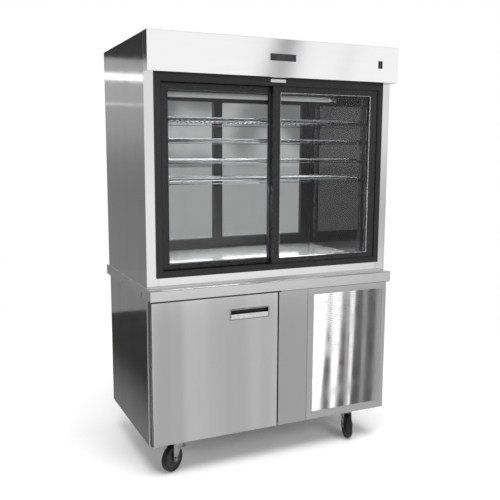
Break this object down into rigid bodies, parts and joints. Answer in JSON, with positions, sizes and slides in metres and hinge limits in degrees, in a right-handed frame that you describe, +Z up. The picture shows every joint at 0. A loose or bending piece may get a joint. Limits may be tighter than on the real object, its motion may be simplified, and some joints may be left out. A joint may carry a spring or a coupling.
{
  "type": "refrigerated display case",
  "caption": "Stainless pass-through refrigerated display case with black sliding glass doors and wire shelves, on a cooled base cabinet with worktop, hinged door, louvred panel and casters.",
  "frame": {"origin": "centre of the footprint on the floor, under the middle of the case", "axes": "+Z up, +X to the right seen from the front, front faces -Y"},
  "size_m": [1.27, 0.804, 1.989],
  "materials": {
    "steel": "satin",
    "chrome_wire": "polished",
    "zinc": "satin",
    "black_frame": "satin",
    "door_glass": "gloss",
    "white_sheet": "satin",
    "lamp_glass": "gloss",
    "black_plastic": "gloss",
    "insulation": "matte",
    "gasket": "matte",
    "fins": "satin",
    "motor_paint": "satin",
    "fan": "satin",
    "wheel": "matte"
  },
  "bodies": {
    "cabinet": {"case_side_left": "steel", "case_side_right": "steel", "case_top": "steel", "liner_left": "steel", "liner_right": "steel", "header_fascia": "steel", "display_deck": "steel", "worktop": "steel", "base_shell": "steel", "base_floor": "steel", "face_frame": "steel", "base_liner": "steel", "base_shelf": "steel", "door_hinges": "steel", "fixed_panel": "steel", "louvre_panel": "steel", "shelf_standards": "steel", "shelf_brackets": "steel", "head_tag": "steel", "shelf_1": "chrome_wire", "shelf_2": "chrome_wire", "shelf_3": "chrome_wire", "shelf_4": "chrome_wire", "caster_plates": "zinc", "front_door_frame": "black_frame", "rear_door_frame": "black_frame", "ceiling_housing": "white_sheet", "light_fixture": "white_sheet", "light_tube": "lamp_glass", "name_plate": "black_plastic", "side_insulation": "insulation", "evaporator_coil": "fins", "condenser_coil": "fins", "compressor": "motor_paint", "evap_fan_motor": "motor_paint", "condenser_fan_motor": "motor_paint"},
    "front_left_door": {"front_left_door_frame": "black_frame", "front_left_glass": "door_glass"},
    "front_right_door": {"front_right_door_frame": "black_frame", "front_right_glass": "door_glass"},
    "rear_left_door": {"rear_left_door_frame": "black_frame", "rear_left_glass": "door_glass"},
    "rear_right_door": {"rear_right_door_frame": "black_frame", "rear_right_glass": "door_glass"},
    "base_door": {"base_door_shell": "steel", "base_door_gasket": "gasket", "door_pull": "steel"},
    "light_switch": {"switch_rocker": "black_plastic"},
    "evaporator_fan": {"evap_fan": "fan"},
    "cooling_fan": {"condenser_fan": "fan"},
    "caster_fl": {"caster_fl_fork": "zinc"},
    "wheel_fl": {"caster_fl_wheel": "wheel"},
    "brake_fl": {"caster_fl_brake": "zinc"},
    "caster_fr": {"caster_fr_fork": "zinc"},
    "wheel_fr": {"caster_fr_wheel": "wheel"},
    "brake_fr": {"caster_fr_brake": "zinc"},
    "caster_rl": {"caster_rl_fork": "zinc"},
    "wheel_rl": {"caster_rl_wheel": "wheel"},
    "caster_rr": {"caster_rr_fork": "zinc"},
    "wheel_rr": {"caster_rr_wheel": "wheel"}
  },
  "joints": [
    {"name": "front_left_slide", "type": "slide", "parent": "cabinet", "child": "front_left_door", "axis": [1, 0, 0], "range_m": [0, 0.54]},
    {"name": "front_right_slide", "type": "slide", "parent": "cabinet", "child": "front_right_door", "axis": [1, 0, 0], "range_m": [-0.54, 0]},
    {"name": "rear_left_slide", "type": "slide", "parent": "cabinet", "child": "rear_left_door", "axis": [1, 0, 0], "range_m": [0, 0.55]},
    {"name": "rear_right_slide", "type": "slide", "parent": "cabinet", "child": "rear_right_door", "axis": [1, 0, 0], "range_m": [-0.52, 0]},
    {"name": "base_door_hinge", "type": "hinge", "parent": "cabinet", "child": "base_door", "pos_m": [-0.615, -0.352, 0.495], "axis": [0, 0, -1], "range_deg": [0, 110]},
    {"name": "switch_rock", "type": "hinge", "parent": "cabinet", "child": "light_switch", "pos_m": [0.5305, -0.394, 1.9035], "axis": [1, 0, 0], "range_deg": [-12, 0]},
    {"name": "evaporator_fan_spin", "type": "hinge", "parent": "cabinet", "child": "evaporator_fan", "pos_m": [0, -0.06, 1.822], "axis": [0, 0, 1], "continuous": true},
    {"name": "cooling_fan_spin", "type": "hinge", "parent": "cabinet", "child": "cooling_fan", "pos_m": [0.41, -0.2, 0.33], "axis": [0, 1, 0], "continuous": true},
    {"name": "caster_fl_swivel", "type": "hinge", "parent": "cabinet", "child": "caster_fl", "pos_m": [-0.494, -0.292, 0.139], "axis": [0, 0, 1], "continuous": true},
    {"name": "caster_fl_roll", "type": "hinge", "parent": "caster_fl", "child": "wheel_fl", "pos_m": [-0.51543, -0.30488, 0.0625], "axis": [0.515, -0.8572, 0], "continuous": true},
    {"name": "caster_fl_brake", "type": "hinge", "parent": "caster_fl", "child": "brake_fl", "pos_m": [-0.47686, -0.2817, 0.127], "axis": [0.515, -0.8572, 0], "range_deg": [-8, 0]},
    {"name": "caster_fr_swivel", "type": "hinge", "parent": "cabinet", "child": "caster_fr", "pos_m": [0.459, -0.292, 0.139], "axis": [0, 0, 1], "continuous": true},
    {"name": "caster_fr_roll", "type": "hinge", "parent": "caster_fr", "child": "wheel_fr", "pos_m": [0.45086, -0.31564, 0.0625], "axis": [0.9455, -0.3256, 0], "continuous": true},
    {"name": "caster_fr_brake", "type": "hinge", "parent": "caster_fr", "child": "brake_fr", "pos_m": [0.46551, -0.27309, 0.127], "axis": [0.9455, -0.3256, 0], "range_deg": [-8, 0]},
    {"name": "caster_rl_swivel", "type": "hinge", "parent": "cabinet", "child": "caster_rl", "pos_m": [-0.49, 0.268, 0.139], "axis": [0, 0, 1], "continuous": true},
    {"name": "caster_rl_roll", "type": "hinge", "parent": "caster_rl", "child": "wheel_rl", "pos_m": [-0.48145, 0.29149, 0.0625], "axis": [-0.9397, 0.342, 0], "continuous": true},
    {"name": "caster_rr_swivel", "type": "hinge", "parent": "cabinet", "child": "caster_rr", "pos_m": [0.49, 0.268, 0.139], "axis": [0, 0, 1], "continuous": true},
    {"name": "caster_rr_roll", "type": "hinge", "parent": "caster_rr", "child": "wheel_rr", "pos_m": [0.48145, 0.29149, 0.0625], "axis": [-0.9397, -0.342, 0], "continuous": true}
  ]
}
